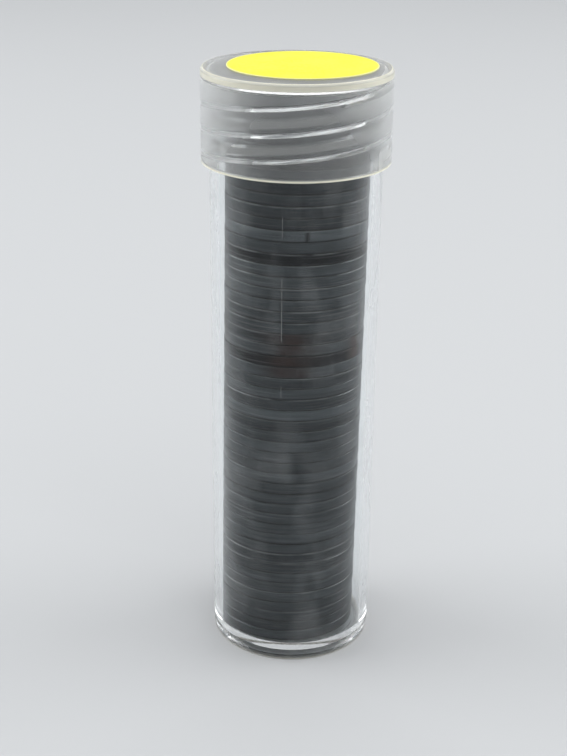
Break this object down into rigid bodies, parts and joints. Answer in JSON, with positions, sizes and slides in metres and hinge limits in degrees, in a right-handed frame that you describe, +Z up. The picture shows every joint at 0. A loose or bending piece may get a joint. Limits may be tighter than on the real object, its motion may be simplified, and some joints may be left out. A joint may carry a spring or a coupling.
{
  "type": "coin tube",
  "caption": "Clear round plastic tube holding a full roll of small steel coins under a see-through screw cap with a round paper label.",
  "frame": {"origin": "centre of the tube's base, on the surface that it stands on", "axes": "+Z up along the tube, from the floor to the cap; the picture looks along +Y"},
  "size_m": [0.0248, 0.0248, 0.0818],
  "materials": {
    "tube_plastic": "clear, polished, lightly scuffed",
    "cap_plastic": "see-through, slightly frosted",
    "label_paper": "matt coated paper, pale cut edge",
    "coin_steel": "dark, worn, dull"
  },
  "bodies": {
    "tube": {"tube": "tube_plastic", "coin_01": "coin_steel", "coin_02": "coin_steel", "coin_03": "coin_steel", "coin_04": "coin_steel", "coin_05": "coin_steel", "coin_06": "coin_steel", "coin_07": "coin_steel", "coin_08": "coin_steel", "coin_09": "coin_steel", "coin_10": "coin_steel", "coin_11": "coin_steel", "coin_12": "coin_steel", "coin_13": "coin_steel", "coin_14": "coin_steel", "coin_15": "coin_steel", "coin_16": "coin_steel", "coin_17": "coin_steel", "coin_18": "coin_steel", "coin_19": "coin_steel", "coin_20": "coin_steel", "coin_21": "coin_steel", "coin_22": "coin_steel", "coin_23": "coin_steel", "coin_24": "coin_steel", "coin_25": "coin_steel", "coin_26": "coin_steel", "coin_27": "coin_steel", "coin_28": "coin_steel", "coin_29": "coin_steel", "coin_30": "coin_steel", "coin_31": "coin_steel", "coin_32": "coin_steel", "coin_33": "coin_steel", "coin_34": "coin_steel", "coin_35": "coin_steel", "coin_36": "coin_steel", "coin_37": "coin_steel", "coin_38": "coin_steel", "coin_39": "coin_steel", "coin_40": "coin_steel", "coin_41": "coin_steel", "coin_42": "coin_steel", "coin_43": "coin_steel", "coin_44": "coin_steel", "coin_45": "coin_steel", "coin_46": "coin_steel", "coin_47": "coin_steel", "coin_48": "coin_steel", "coin_49": "coin_steel"},
    "top_coin": {"coin_50": "coin_steel"},
    "cap": {"screw_cap": "cap_plastic", "cap_label": "label_paper"}
  },
  "joints": [
    {"name": "cap_turn", "type": "hinge", "parent": "tube", "child": "top_coin", "pos_m": [0, 0, 0.0793], "axis": [0, 0, 1], "range_deg": [0, 720]},
    {"name": "cap_lift", "type": "slide", "parent": "top_coin", "child": "cap", "axis": [0, 0, 1], "range_m": [0, 0.01301]}
  ],
  "couplings": [
    {"joint": "cap_lift", "follows": "cap_turn", "m_per_rad": 0.0010345}
  ]
}
